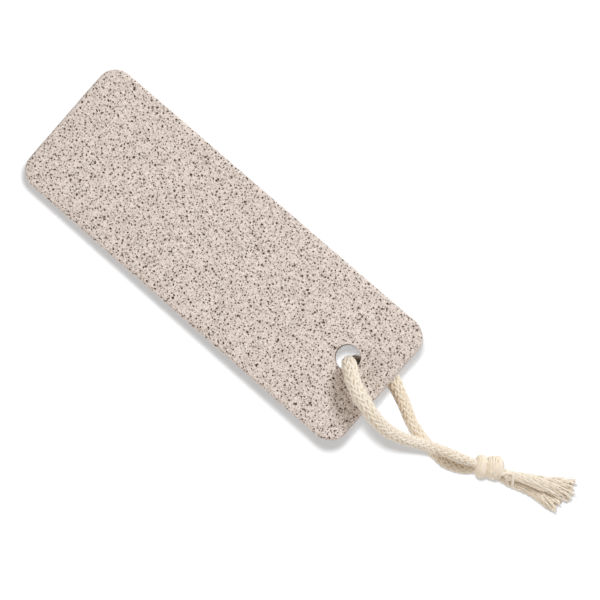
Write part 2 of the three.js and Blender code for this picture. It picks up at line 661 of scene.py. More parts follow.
class PoreShape(Enum):
    """The solid that a pore is cut with."""

    ROUND = "round"
    SIX_SIDED = "six-sided cone"
    FIVE_SIDED = "five-sided cone"


@dataclass(frozen=True)
class Pores:
    """One size of pore, spread over the whole stone."""

    shape: PoreShape
    spacing: float  # the least distance between two
    density: float  # to the square metre, before those too near another are left out
    smallest: float  # radius
    largest: float  # radius
    seed: int


@dataclass
class PumiceStone:
    """The drilled block of pumice, measured on the block before it is tilted."""

    length: float = 0.1405
    width: float = 0.050
    thickness: float = 0.015
    width_gain: float = 0.0012
    corner_radius: float = 0.0068
    edge_radius: float = 0.0011
    corner_steps: int = 8
    edge_steps: int = 4
    cell: float = 0.0043  # the faces are cut into cells this wide, so that none is large
    hole_diameter: float = 0.0088
    hole_place: tuple[float, float] = HOLE_PLACE
    hole_sides: int = 64
    roughness: float = 0.0001
    roughness_scale: float = 420.0
    sharp_edge: float = math.radians(32)
    least_stretch: tuple[float, float, float] = (0.75, 0.75, 0.8)  # of a pore, each way
    most_stretch: tuple[float, float, float] = (1.3, 1.3, 1.2)
    cone_mouth: float = 1.35  # the cones' sizes are shares of the pore's
    cone_depth: float = 1.9
    cone_sunk: float = 1.4
    pores: tuple[Pores, ...] = (
        Pores(PoreShape.ROUND, 0.0035, 1.2e4, 0.00040, 0.00056, 11),
        Pores(PoreShape.SIX_SIDED, 0.0010, 2.9e5, 0.00031, 0.00047, 23),
        Pores(PoreShape.FIVE_SIDED, 0.00076, 4.6e5, 0.00023, 0.00035, 37),
    )
    finish: PumiceFinish = field(default_factory=PumiceFinish)

    def outline(self, inset: float) -> list[tuple[float, float]]:
        """The block's outline, drawn this far inside its sides.

        Args:
            inset: How far inside.

        Returns:
            The outline's corners, counter-clockwise from above.
        """
        radius = self.corner_radius - inset
        x = self.length / 2 - self.corner_radius
        y = self.width / 2 - self.corner_radius
        points = []
        for quarter, (cx, cy) in enumerate(((x, y), (-x, y), (-x, -y), (x, -y))):
            for step in range(self.corner_steps + 1):
                turn = (quarter + step / self.corner_steps) * math.pi / 2
                px, py = cx + radius * math.cos(turn), cy + radius * math.sin(turn)
                points.append((px, py * (1 + self.widening(px))))
        return points

    def widening(self, x: Any) -> Any:
        """The share by which the block is wider at x than at its middle."""
        return self.width_gain / self.width * x / self.length

    def block(self) -> bpy.types.Mesh:
        """Makes the plain block with rubbed edges, with no hole in it.

        Returns:
            The block, with its faces cut into cells.
        """
        rings = []
        for side in (1, -1):
            for step in range(self.edge_steps + 1):
                turn = step / self.edge_steps * math.pi / 2
                inset = self.edge_radius * (1 - math.sin(turn))
                height = self.thickness / 2 - self.edge_radius * (1 - math.cos(turn))
                rings.append((inset, side * height))
        rings[self.edge_steps + 1 :] = reversed(rings[self.edge_steps + 1 :])
        corners, faces = [], []
        for inset, height in rings:
            corners += [(x, y, height) for x, y in self.outline(inset)]
        count = len(corners) // len(rings)
        for ring in range(len(rings) - 1):
            for i in range(count):
                j = (i + 1) % count
                a, b = ring * count, (ring + 1) * count
                faces.append((a + i, b + i, b + j, a + j))
        faces.append(tuple(range(count)))
        faces.append(tuple(reversed(range((len(rings) - 1) * count, len(corners)))))
        mesh = bpy.data.meshes.new("block")
        mesh.from_pydata(corners, [], faces)
        self.cut_into_cells(mesh)
        return mesh

    def cut_into_cells(self, mesh: bpy.types.Mesh) -> None:
        """Cuts a mesh's faces across and along, so that the pores leave no large face.

        Args:
            mesh: The mesh, which is changed.
        """
        body = bmesh.new()
        body.from_mesh(mesh)
        for normal, half in (((1, 0, 0), self.length / 2), ((0, 1, 0), self.width / 2)):
            for cut in np.arange(-half, half, self.cell)[1:]:
                everything = [*body.verts, *body.edges, *body.faces]
                place = Vector(normal) * float(cut)
                bmesh.ops.bisect_plane(body, geom=everything, plane_co=place, plane_no=normal)
        body.to_mesh(mesh)
        body.free()

    def pore_pass(self) -> bpy.types.NodeTree:
        """Makes the tree that cuts one size of pore into a body.

        Returns:
            The tree, which is used once for each size.
        """
        shapes = Shapes(
            "one size of pore",
            {
                "Body": "NodeSocketGeometry",
                "Skin": "NodeSocketGeometry",
                "Cutter": "NodeSocketGeometry",
                "Spacing": "NodeSocketFloat",
                "Density": "NodeSocketFloat",
                "Smallest": "NodeSocketFloat",
                "Largest": "NodeSocketFloat",
                "Seed": "NodeSocketInt",
            },
        )
        spread = shapes.node(
            "GeometryNodeDistributePointsOnFaces",
            {
                "Mesh": shapes.given("Skin"),
                "Distance Min": shapes.given("Spacing"),
                "Density Max": shapes.given("Density"),
                "Seed": shapes.given("Seed"),
            },
            distribute_method="POISSON",
        )
        size = shapes.random(shapes.given("Smallest"), shapes.given("Largest"), 1)
        stretch = shapes.node("FunctionNodeRandomValue", {"Seed": 2}, data_type="FLOAT_VECTOR")
        stretch.inputs[0].default_value = self.least_stretch
        stretch.inputs[1].default_value = self.most_stretch
        spin = shapes.random(-3.1, 3.1, 3)
        turned = shapes.node(
            "FunctionNodeRotateRotation",
            {
                "Rotation": shapes.out(spread, "Rotation"),
                "Rotate By": shapes.joined(spin * 0.12, spin * 0.09, spin),
            },
            rotation_space="LOCAL",
        )
        cutters = shapes.node(
            "GeometryNodeInstanceOnPoints",
            {
                "Points": shapes.out(spread, "Points"),
                "Instance": shapes.given("Cutter"),
                "Rotation": shapes.out(turned),
                "Scale": shapes.scaled(shapes.out(stretch, 0), size),
            },
        )
        cut = shapes.node(
            "GeometryNodeMeshBoolean",
            {"Mesh 1": shapes.given("Body"), "Mesh 2": shapes.out(cutters)},
            operation="DIFFERENCE",
            solver="MANIFOLD",
        )
        shapes.feed(shapes.node("NodeGroupOutput").inputs[0], shapes.out(cut, "Mesh"))
        return shapes.tree

    def cone(self, shapes: Shapes, sides: int) -> Field:
        """Adds a cone that points down, for cutting small pores.

        Args:
            shapes: The tree that it goes in.
            sides: How many sides it has.

        Returns:
            The cone, which is 1 wide at the surface that it cuts.
        """
        cone = shapes.node(
            "GeometryNodeMeshCone",
            {
                "Vertices": sides,
                "Radius Top": self.cone_mouth,
                "Radius Bottom": 0.0,
                "Depth": self.cone_depth,
            },
        )
        sunk = shapes.node(
            "GeometryNodeTransform",
            {"Geometry": shapes.out(cone, "Mesh"), "Translation": (0.0, 0.0, -self.cone_sunk)},
        )
        return shapes.out(sunk)

    def tree(self) -> bpy.types.NodeTree:
        """Makes the tree that drills the block, cuts its pores and roughens it.

        Returns:
            The tree.
        """
        shapes = Shapes(
            "pumice block",
            {
                "Block": "NodeSocketGeometry",
                "Hole diameter": "NodeSocketFloat",
                "Hole x": "NodeSocketFloat",
                "Hole y": "NodeSocketFloat",
                "Roughness": "NodeSocketFloat",
                "Material": "NodeSocketMaterial",
            },
        )
        drill = shapes.node(
            "GeometryNodeMeshCylinder",
            {
                "Vertices": self.hole_sides,
                "Radius": shapes.given("Hole diameter") * 0.5,
                "Depth": 4 * self.thickness,
            },
        )
        moved = shapes.node(
            "GeometryNodeTransform",
            {
                "Geometry": shapes.out(drill, "Mesh"),
                "Translation": shapes.joined(shapes.given("Hole x"), shapes.given("Hole y")),
            },
        )
        drilled = shapes.node(
            "GeometryNodeMeshBoolean",
            {"Mesh 1": shapes.given("Block"), "Mesh 2": shapes.out(moved)},
            operation="DIFFERENCE",
            solver="MANIFOLD",
        )
        skin = body = shapes.out(drilled, "Mesh")
        ball = shapes.node("GeometryNodeMeshIcoSphere", {"Radius": 1.0, "Subdivisions": 1})
        cutters = {
            PoreShape.ROUND: shapes.out(ball, "Mesh"),
            PoreShape.SIX_SIDED: self.cone(shapes, 6),
            PoreShape.FIVE_SIDED: self.cone(shapes, 5),
        }
        one_pass = self.pore_pass()
        for pores in self.pores:
            node = shapes.node("GeometryNodeGroup", node_tree=one_pass)
            values = {
                "Body": body,
                "Skin": skin,
                "Cutter": cutters[pores.shape],
                "Spacing": pores.spacing,
                "Density": pores.density,
                "Smallest": pores.smallest,
                "Largest": pores.largest,
                "Seed": pores.seed,
            }
            for name, value in values.items():
                shapes.feed(node.inputs[name], value)
            body = shapes.out(node)
        place = shapes.out(shapes.node("GeometryNodeInputPosition"))
        body = shapes.keep(body, "before", place, "FLOAT_VECTOR")
        outward = shapes.out(shapes.node("GeometryNodeInputNormal"))
        bumps = shapes.noise(place, self.roughness_scale, 3.0)
        lift = (bumps - 0.5) * shapes.given("Roughness") * 2.0
        rough = shapes.node(
            "GeometryNodeSetPosition",
            {"Geometry": body, "Offset": shapes.scaled(outward, lift)},
        )
        return shapes.end(shapes.out(rough), shapes.given("Material"))

    def depth_of(self, points: np.ndarray) -> np.ndarray:
        """How far points are inside the smooth block's surface, on the untilted block.

        Args:
            points: The points, one row each.

        Returns:
            Each point's distance from the nearest outer face, edge or hole wall.
        """
        x, z = points[:, 0], points[:, 2]
        y = points[:, 1] / (1 + self.widening(x))
        half = np.array([self.length / 2, self.width / 2]) - self.corner_radius
        q = np.abs(np.stack([x, y], axis=1)) - half
        plan = (
            np.linalg.norm(np.maximum(q, 0), axis=1)
            + np.minimum(q.max(axis=1), 0)
            - self.corner_radius
        )
        level = np.abs(z) - self.thickness / 2
        a, b = plan + self.edge_radius, level + self.edge_radius
        outside = (
            np.minimum(np.maximum(a, b), 0)
            + np.hypot(np.maximum(a, 0), np.maximum(b, 0))
            - self.edge_radius
        )
        hx, hy = self.hole_place
        wall = self.hole_diameter / 2 - np.hypot(x - hx, points[:, 1] - hy)
        return np.maximum(-np.maximum(outside, wall), 0)

    def placement(self) -> Matrix:
        """How the block lies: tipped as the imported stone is, and as high as it.

        Returns:
            The turn and shift from the untilted block to its place.
        """
        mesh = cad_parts["pumice_stone"].data
        up = Vector((0, 0, 0))
        for face in mesh.polygons:
            if face.normal.z > 0.999:
                up += face.normal * face.area
        tilt = math.atan2(-up.x, up.z)
        low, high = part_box("pumice_stone")
        turned = Matrix.Rotation(-tilt, 4, "Y")
        core = Vector((self.length / 2, 0, self.thickness / 2))
        core -= Vector((self.edge_radius, 0, self.edge_radius))
        top = (turned @ core).z + self.edge_radius
        across = (low[0] + high[0]) / 2
        return Matrix.Translation((across, 0, high[2] - top)) @ turned

    def build(self) -> bpy.types.Object:
        """Makes the stone, in its place.

        Returns:
            The piece.
        """
        values = {
            "Hole diameter": self.hole_diameter,
            "Hole x": self.hole_place[0],
            "Hole y": self.hole_place[1],
            "Roughness": self.roughness,
            "Material": self.finish.material(),
        }
        piece = grown(self.block(), self.tree(), values, "stone_body")
        mesh = piece.data
        points = np.zeros(len(mesh.vertices) * 3)
        mesh.attributes["before"].data.foreach_get("vector", points)
        mesh.attributes.remove(mesh.attributes["before"])
        # how far below the smooth surface each point lies, which the material paints shade by
        depth = self.depth_of(points.reshape(-1, 3))
        mesh.attributes.new("pore_depth", "FLOAT", "POINT").data.foreach_set("value", depth)
        mesh.transform(self.placement())
        mesh.shade_smooth()
        mesh.set_sharp_from_angle(angle=self.sharp_edge)
        return piece

    def dress(self, piece: bpy.types.Object) -> None:
        """Hides the imported stone that it stands for, and says what it rides on.

        Args:
            piece: The stone's piece.
        """
        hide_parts("pumice_stone")
        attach(piece, BODY)


# ------------------------------------------------------------------ the cord


@dataclass
class Way:
    """The middle line of a cord, with the directions across it and the distance along it."""

    points: np.ndarray
    ahead: np.ndarray
    across: np.ndarray
    upward: np.ndarray
    along: np.ndarray

    PARTS = 60  # how many short lines a curve between two points of a route is drawn with
    LEVELS_OVER = 0.015  # the length over which the across direction turns level

    @staticmethod
    def smooth(route: Sequence[Sequence[float]], step: float) -> np.ndarray:
        """Draws a smooth line through a route's points.

        Args:
            route: The route's points.
            step: How far apart the line's points are.

        Returns:
            The line's points, evenly spaced.
        """
        given = np.array(route, float)
        first, last = 2 * given[0] - given[1], 2 * given[-1] - given[-2]
        padded = np.vstack([first, given, last])
        knots = np.linalg.norm(np.diff(padded, axis=0), axis=1) ** 0.5
        dense = []
        for i in range(1, len(padded) - 2):
            before, here, there, after = padded[i - 1 : i + 3]
            d0, d1, d2 = knots[i - 1 : i + 2]
            slope0 = (here - before) / d0 - (there - before) / (d0 + d1) + (there - here) / d1
            slope1 = (there - here) / d1 - (after - here) / (d1 + d2) + (after - there) / d2
            slope0, slope1 = slope0 * d1, slope1 * d1
            t = np.linspace(0, 1, Way.PARTS, endpoint=False)[:, None]
            dense.append(
                here
                + slope0 * t
                + (-3 * here + 3 * there - 2 * slope0 - slope1) * t**2
                + (2 * here - 2 * there + slope0 + slope1) * t**3
            )
        line = np.vstack([*dense, given[-1:]])
        reach = np.concatenate([[0], np.cumsum(np.linalg.norm(np.diff(line, axis=0), axis=1))])
        at = np.linspace(0, reach[-1], round(reach[-1] / step) + 1)
        return np.stack([np.interp(at, reach, line[:, k]) for k in range(3)], axis=1)

    @classmethod
    def of(cls, points: np.ndarray, across: Sequence[float], level_from: float) -> "Way":
        """Works out the directions along a line.

        Args:
            points: The line's points.
            across: The direction across the line at its first point.
            level_from: How far along the line the across direction starts to turn level.

        Returns:
            The way.
        """
        ahead = np.gradient(points, axis=0)
        ahead /= np.linalg.norm(ahead, axis=1)[:, None]
        sides = np.zeros_like(points)
        side = np.array(across, float)
        for i, t in enumerate(ahead):
            side = side - t * (side @ t)
            side /= np.linalg.norm(side)
            sides[i] = side
        ups = np.cross(ahead, sides)
        steps = np.linalg.norm(np.diff(points, axis=0), axis=1)
        along = np.concatenate([[0], np.cumsum(steps)])
        level = np.cross([0, 0, 1], ahead)
        roll = np.unwrap(np.arctan2((level * ups).sum(1), (level * sides).sum(1)))
        roll *= smoothstep(level_from, level_from + cls.LEVELS_OVER, along)
        c, s = np.cos(roll)[:, None], np.sin(roll)[:, None]
        return cls(points, ahead, sides * c + ups * s, ups * c - sides * s, along)

    def part(self, first: int, last: int | None = None) -> "Way":
        """The way from one of its points to another.

        Args:
            first: The first point's number.
            last: The number of the point after the last, or none for the end.

        Returns:
            The shorter way.
        """
        cut = slice(first, last)
        return Way(
            self.points[cut], self.ahead[cut], self.across[cut], self.upward[cut], self.along[cut]
        )

    def mesh(self, name: str, numbers: Mapping[str, np.ndarray]) -> bpy.types.Mesh:
        """Turns the line into a mesh of edges that carries the directions and more numbers.

        Args:
            name: The mesh's name.
            numbers: More numbers for each point, by name.

        Returns:
            The mesh.
        """
        mesh = bpy.data.meshes.new(name)
        edges = [(i, i + 1) for i in range(len(self.points) - 1)]
        mesh.from_pydata(self.points.tolist(), edges, [])
        for title, rows in (("across", self.across), ("upward", self.upward)):
            stored = mesh.attributes.new(title, "FLOAT_VECTOR", "POINT")
            stored.data.foreach_set("vector", rows.ravel())
        for title, column in {"along": self.along, **numbers}.items():
            stored = mesh.attributes.new(title, "FLOAT", "POINT")
            stored.data.foreach_set("value", np.broadcast_to(column, self.along.shape).ravel())
        return mesh


class Strands:
    """The tree that lays yarns along a way, plaited where tight and parted where loose."""

    FULL_RISE = 1 / 9000  # yarns that rise this far or more hide each other
    GOLDEN_ANGLE = 2.39996  # spreads the parted yarns evenly over their section
    SWIRL = 0.6  # how far the parted yarns turn with the plait
    DRIFT_SCALE = 160.0  # how many drifts of a stray yarn there are to the metre
    DRIFT_APART = 7.3  # keeps the yarns' drifts apart
    TWIST_APART = 1.7  # keeps the yarns' twists apart
    PLIES = 3
    PLY_DEPTH = 0.07  # as a share of the yarn's width

    made: bpy.types.NodeTree | None = None

    @classmethod
    def tree(cls) -> bpy.types.NodeTree:
        """The tree, which is made at the first call.

        Returns:
            The tree.
        """
        if cls.made is None:
            cls.made = cls.make()
        return cls.made

    @classmethod
    def make(cls) -> bpy.types.NodeTree:
        """Makes the tree.

        Returns:
            The tree. It reads the numbers that a way's mesh carries.
        """
        shapes = Shapes(
            "yarns along a way",
            {
                "Way": "NodeSocketGeometry",
                "Carriers": "NodeSocketInt",
                "Ends": "NodeSocketInt",
                "Ring radius": "NodeSocketFloat",
                "Rise": "NodeSocketFloat",
                "Yarn width": "NodeSocketFloat",
                "Yarn thickness": "NodeSocketFloat",
                "Twist": "NodeSocketFloat",
                "Wander": "NodeSocketFloat",
                "Side shade width": "NodeSocketFloat",
                "Cut": "NodeSocketFloat",
                "Sides": "NodeSocketInt",
                "Tone": "NodeSocketFloat",
                "Seed": "NodeSocketInt",
                "Material": "NodeSocketMaterial",
            },
        )
        carriers, ends = shapes.given("Carriers"), shapes.given("Ends")
        count = carriers * ends * 2.0
        curve = shapes.out(shapes.node("GeometryNodeMeshToCurve", {"Mesh": shapes.given("Way")}))
        copies = shapes.node(
            "GeometryNodeDuplicateElements", {"Geometry": curve, "Amount": count}, domain="SPLINE"
        )
        index = shapes.out(copies, "Duplicate Index")

        way_round = index % 2.0 * 2.0 - 1.0
        yarn = (index * 0.5).floor()
        carrier = (yarn / ends).floor()
        shift = (yarn % ends - (ends - 1.0) * 0.5) / ends
        turn = shapes.read("turn")
        crossing = turn * carriers * (1 / math.pi)
        phase = carrier * 2.0 + shift + way_round * crossing - 0.5
        wave = way_round * shapes.math("COSINE", phase * (math.pi / 2))
        wave = wave * (shapes.math("MULTIPLY", wave, wave) * -0.5 + 1.5)

        loose = shapes.read("loose")
        angle = (carrier + shift) * 2.0 * math.pi / carriers + way_round * turn
        radius = shapes.given("Ring radius") + shapes.given("Rise") * wave
        plait_x = shapes.math("COSINE", angle) * radius * shapes.read("wide")
        plait_y = shapes.math("SINE", angle) * radius * shapes.read("high")

        share = shapes.math("SQRT", (index + 0.5) / count)
        spot = index * cls.GOLDEN_ANGLE + turn * cls.SWIRL
        parted_x = shapes.math("COSINE", spot) * share * shapes.read("parted_wide")
        parted_y = shapes.math("SINE", spot) * share * shapes.read("parted_high")

        place = shapes.out(shapes.node("GeometryNodeInputPosition"))
        stretched = shapes.scaled(place, cls.DRIFT_SCALE)
        apart = shapes.vectors("ADD", stretched, shapes.joined(index * cls.DRIFT_APART))
        drift = shapes.out(shapes.node("ShaderNodeTexNoise", {"Vector": apart, "Scale": 1.0}), 1)
        drift = shapes.vectors("SUBTRACT", drift, (0.5, 0.5, 0.5))
        drift = shapes.scaled(drift, shapes.given("Wander") * 2.0 * shapes.read("stray"))

        x = plait_x + (parted_x - plait_x) * loose
        y = plait_y + (parted_y - plait_y) * loose
        across = shapes.read("across", "FLOAT_VECTOR")
        upward = shapes.read("upward", "FLOAT_VECTOR")
        offset = shapes.vectors("ADD", shapes.scaled(across, x), shapes.scaled(upward, y))
        moved = shapes.node(
            "GeometryNodeSetPosition",
            {
                "Geometry": shapes.out(copies, "Geometry"),
                "Offset": shapes.vectors("ADD", offset, drift),
            },
        )
        # under: how far a yarn is hidden under others, plus the painted side shade; the cotton
        # paints shade by it
        plaited = shapes.math("MINIMUM", shapes.given("Rise") * (1 / cls.FULL_RISE), 1.0)
        hidden = (wave * -0.5 + 0.5) * (loose * -0.7 + 1.0) * plaited
        # painted shade down one side of the cord, over the marked stretches
        side_shade = shapes.math("MAXIMUM", shapes.read("side_shade") * x / shapes.given("Side shade width"), 0.0)
        line = shapes.keep(shapes.out(moved), "under", hidden + side_shade)
        shade = shapes.random(0.0, 1.0, shapes.given("Seed"), index)
        line = shapes.keep(line, "shade", shade + shapes.given("Tone"))
        line = shapes.keep(line, "pick", shapes.random(0.0, 1.0, 5, index))
        outward = shapes.vectors("NORMALIZE", offset)
        line = shapes.node("GeometryNodeSetCurveNormal", {"Curve": line}, mode="FREE")
        shapes.feed(line.inputs["Normal"], outward)
        tilt = shapes.read("along") * shapes.given("Twist") + index * cls.TWIST_APART
        spun = shapes.node(
            "GeometryNodeSetCurveTilt", {"Curve": shapes.out(line), "Tilt": tilt}
        )
        trimmed = shapes.node(
            "GeometryNodeTrimCurve",
            {
                "Curve": shapes.out(spun),
                "Start": 0.0,
                "End": shapes.read("pick") * shapes.given("Cut") * -1.0 + 1.0,
            },
        )

        sides = shapes.given("Sides")
        ring = shapes.node("GeometryNodeCurvePrimitiveCircle", {"Resolution": sides})
        shapes.feed(ring.inputs["Radius"], 0.5)
        factor = shapes.out(shapes.node("GeometryNodeSplineParameter"), "Factor")
        section = shapes.keep(shapes.out(ring, "Curve"), "around", factor)
        plies = shapes.math("COSINE", factor * (2 * math.pi * cls.PLIES)) * cls.PLY_DEPTH
        section = shapes.out(
            shapes.node(
                "GeometryNodeSetPosition",
                {"Geometry": section, "Offset": shapes.scaled(place, plies)},
            )
        )
        section = shapes.node(
            "GeometryNodeTransform",
            {
                "Geometry": section,
                "Scale": shapes.joined(
                    shapes.given("Yarn thickness"), shapes.given("Yarn width"), 1.0
                ),
            },
        )
        tube = shapes.node(
            "GeometryNodeCurveToMesh",
            {
                "Curve": shapes.out(trimmed),
                "Profile Curve": shapes.out(section),
                "Scale": shapes.read("girth"),
                "Fill Caps": True,
            },
        )
        soft = shapes.node("GeometryNodeSetShadeSmooth", {"Geometry": shapes.out(tube)})
        return shapes.end(shapes.out(soft), shapes.given("Material"))


@dataclass(frozen=True)
class Plait:
    """How a cord's yarns are plaited."""

    carriers: int = 12  # going round each of the two ways
    ends: int = 1  # yarns to a carrier
    ring_radius: float = 0.00202
    rise: float = 0.00012  # how far a yarn goes out and in where it crosses others
    yarn_width: float = 0.00124
    yarn_thickness: float = 0.00090
    twist: float = 2 * math.pi / 0.0042  # a yarn's own turn, in radians to the metre
    wander: float = 0.00045  # how far a loose yarn strays
    cut: float = 0.0  # the most of its length that a yarn falls short by, as a share
    lay: float = 0.031  # the length in which a yarn goes round once
    seed: int = 1
    sides: int = 9
    tone: float = 0.0  # how much creamier the yarns are than others
    # the least width over which the painted side shade spreads
    least_side_shade_width: float = 0.0015

    def lay_along(
        self, way: Way, numbers: Mapping[str, Any], name: str, material: bpy.types.Material
    ) -> bpy.types.Object:
        """Lays the yarns along a way.

        Args:
            way: The way.
            numbers: The numbers that shape the cord along it, by name.
            name: The piece's name.
            material: What it is made of.

        Returns:
            The piece.
        """
        plain = {"wide": 1.0, "high": 1.0, "loose": 0.0, "girth": 1.0, "stray": 0.2}
        plain |= {"parted_wide": 0.0, "parted_high": 0.0, "side_shade": 0.0}
        turn = way.along * (2 * math.pi / self.lay)
        base = way.mesh(name, {**plain, "turn": turn, **numbers})
        values = {
            "Carriers": self.carriers,
            "Ends": self.ends,
            "Ring radius": self.ring_radius,
            "Rise": self.rise,
            "Yarn width": self.yarn_width,
            "Yarn thickness": self.yarn_thickness,
            "Twist": self.twist,
            "Wander": self.wander,
            "Side shade width": max(self.ring_radius, self.least_side_shade_width),
            "Cut": self.cut,
            "Sides": self.sides,
            "Tone": self.tone,
            "Seed": self.seed,
            "Material": material,
        }
        return grown(base, Strands.tree(), values, name)


@dataclass(frozen=True)
class Fibres:
    """The fine loose fibres that stand off cotton yarn."""

    density: float = 3.1e5  # to the square metre of yarn
    length: float = 0.0016
    thickness: float = 0.016  # as a share of the length
    shortest: float = 0.35  # as a share of the length
    lean: tuple[float, float] = (0.7, 1.55)  # the least and the most, in radians
    outermost: float = 0.45  # how far under a yarn may go and still have fibres
    seed: int = 5

    def tree(self) -> bpy.types.NodeTree:
        """Makes the tree that scatters fibres over the outer yarns of a piece.

        Returns:
            The tree.
        """
        shapes = Shapes(
            "loose fibres",
            {
                "Yarns": "NodeSocketGeometry",
                "Density": "NodeSocketFloat",
                "Length": "NodeSocketFloat",
                "Thickness": "NodeSocketFloat",
                "Seed": "NodeSocketInt",
                "Material": "NodeSocketMaterial",
            },
        )
        outer = shapes.math("LESS_THAN", shapes.read("under"), self.outermost)
        spread = shapes.node(
            "GeometryNodeDistributePointsOnFaces",
            {
                "Mesh": shapes.given("Yarns"),
                "Selection": outer,
                "Density": shapes.given("Density"),
                "Seed": shapes.given("Seed"),
            },
        )
        line = shapes.node(
            "GeometryNodeCurveQuadraticBezier",
            {
                "Resolution": 4,
                "Start": (0.0, 0.0, 0.0),
                "Middle": (0.35, 0.0, 0.5),
                "End": (0.0, 0.2, 1.0),
            },
        )
        ring = shapes.node("GeometryNodeCurvePrimitiveCircle", {"Resolution": 3})
        shapes.feed(ring.inputs["Radius"], shapes.given("Thickness"))
        fibre = shapes.node(
            "GeometryNodeCurveToMesh",
            {
                "Curve": shapes.out(line),
                "Profile Curve": shapes.out(ring, "Curve"),
                "Fill Caps": True,
            },
        )
        lean = shapes.random(*self.lean, 2)
        spin = shapes.random(-3.14, 3.14, 3)
        turned = shapes.node(
            "FunctionNodeRotateRotation",
            {"Rotation": shapes.out(spread, "Rotation"), "Rotate By": shapes.joined(z=spin)},
            rotation_space="LOCAL",
        )
        leant = shapes.node(
            "FunctionNodeRotateRotation",
            {"Rotation": shapes.out(turned), "Rotate By": shapes.joined(x=lean)},
            rotation_space="LOCAL",
        )
        placed = shapes.node(
            "GeometryNodeInstanceOnPoints",
            {
                "Points": shapes.out(spread, "Points"),
                "Instance": shapes.out(fibre),
                "Rotation": shapes.out(leant),
            },
        )
        size = shapes.random(self.shortest, 1.0, 4) * shapes.given("Length")
        shapes.feed(placed.inputs["Scale"], size)
        return shapes.end(shapes.out(placed), shapes.given("Material"))

    def build(
        self, pieces: Sequence[bpy.types.Object], material: bpy.types.Material
    ) -> bpy.types.Object:
        """Scatters fibres over pieces.

        Args:
            pieces: The pieces of yarn.
            material: What the fibres are made of.

        Returns:
            The fibres, as one piece.
        """
        tree = self.tree()
        values = {
            "Density": self.density,
            "Length": self.length,
            "Thickness": self.thickness,
            "Seed": self.seed,
            "Material": material,
        }
        grown_pieces = [grown(p.data.copy(), tree, values, "fibres") for p in pieces]
        return joined_piece("loose_fibres", grown_pieces)

    def dress(self, piece: bpy.types.Object) -> None:
        """Says what the fibres ride on.

        Args:
            piece: The fibres.
        """
        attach(piece, BODY)


@dataclass(frozen=True)
class Eye:
    """A small opening that the yarns part round, seen from above."""

    place: tuple[float, float]
    radius: float
    reach: float  # how far from its middle yarns are moved
    heights: Span = (0.0014, 0.0026)  # it is closed below these and open above

    def open(self, piece: bpy.types.Object) -> None:
        """Pushes a piece's yarns away from the opening.

        Args:
            piece: The piece, whose mesh is changed.
        """
        points = coordinates(piece.data)
        away = points[:, :2] - np.array(self.place)
        distance = np.maximum(np.linalg.norm(away, axis=1), 1e-6)
        push = self.radius * np.clip(1 - distance / self.reach, 0, 1)
        push *= smoothstep(*self.heights, points[:, 2])
        points[:, :2] += away / distance[:, None] * push[:, None]
        move_to(piece.data, points)


def settled(piece: bpy.types.Object, lowest: float = 0.00005) -> None:
    """Presses a piece flat where it would go below the surface that it lies on.

    Args:
        piece: The piece, whose mesh is changed.
        lowest: The height that none of it goes below.
    """
    points = coordinates(piece.data)
    points[:, 2] = np.maximum(points[:, 2], lowest)
    move_to(piece.data, points)


@dataclass(frozen=True)
class SideShade:
    """A stretch of a cord with painted shade down one side, where it lies against the other half.
    """

    start: float  # x
    end: float  # x
    amount: float  # above 0 for its left side and below 0 for its right, looking along it
    fade: float = 0.0015

    def over(self, x: np.ndarray) -> np.ndarray:
        """How stained the cord is at each x."""
        rise = smoothstep(self.start - self.fade, self.start + self.fade, x)
        return self.amount * rise * smoothstep(self.end + self.fade, self.end - self.fade, x)


